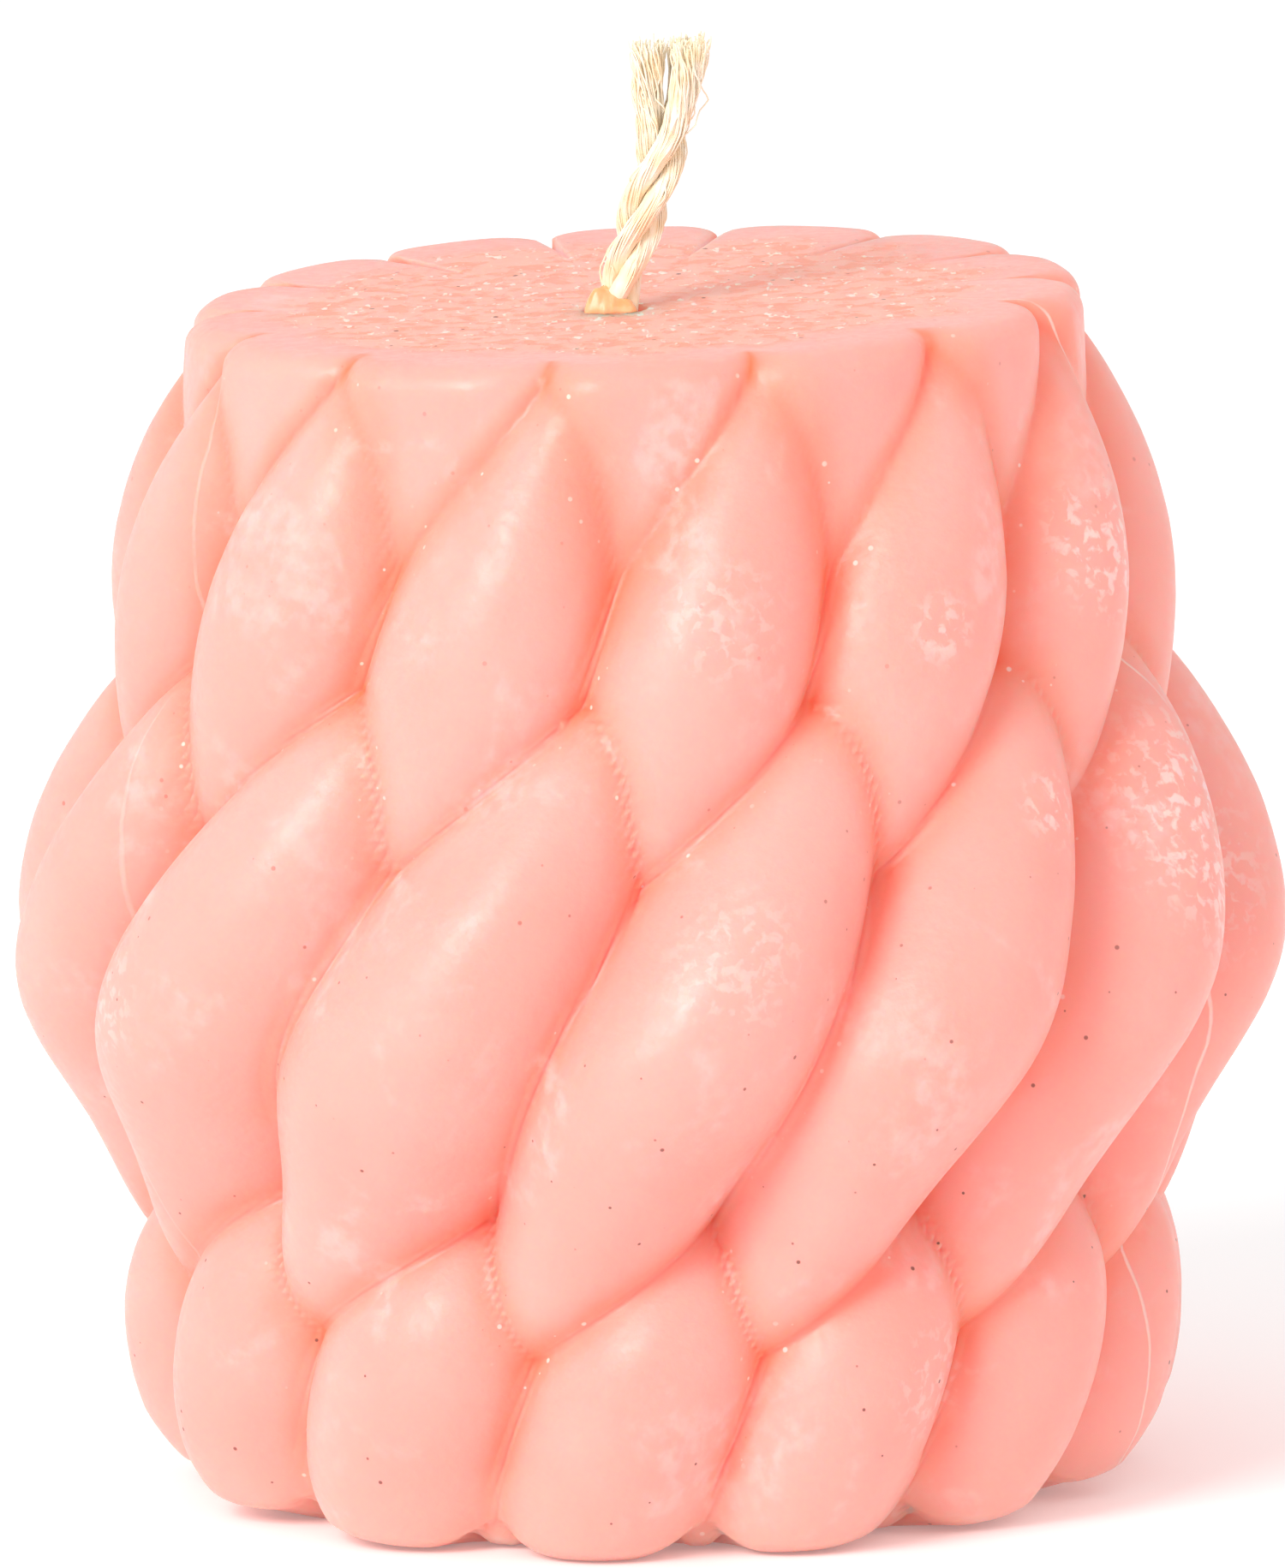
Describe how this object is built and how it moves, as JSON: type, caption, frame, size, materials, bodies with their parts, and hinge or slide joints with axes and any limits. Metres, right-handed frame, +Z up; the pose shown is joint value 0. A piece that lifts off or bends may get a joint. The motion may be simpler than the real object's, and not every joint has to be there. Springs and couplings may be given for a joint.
{
  "type": "braided pillar candle",
  "caption": "Short moulded wax pillar candle with rows of slanted braided lobes, a trimmed flat top, a flat base and a twisted cotton wick in a bore.",
  "frame": {"origin": "on the axis of the lobed body, in the plane of the flat base that the candle rests on", "axes": "+Z up, along the body's axis towards the wick; -Y towards the pictured front, where the wick stands a little forward of the middle; +X to the viewer's right"},
  "size_m": [0.0745, 0.0753, 0.0866],
  "materials": {
    "wax": "satin moulded pink wax, slightly translucent, with a pale bloom",
    "wick": "twisted cream cotton, primed with wax",
    "primer": "amber primer wax, soft gloss"
  },
  "bodies": {
    "root": {"wax_body": "wax", "wick_ply_1": "wick", "wick_ply_2": "wick", "wick_ply_3": "wick", "wick_bead": "primer"}
  },
  "joints": []
}
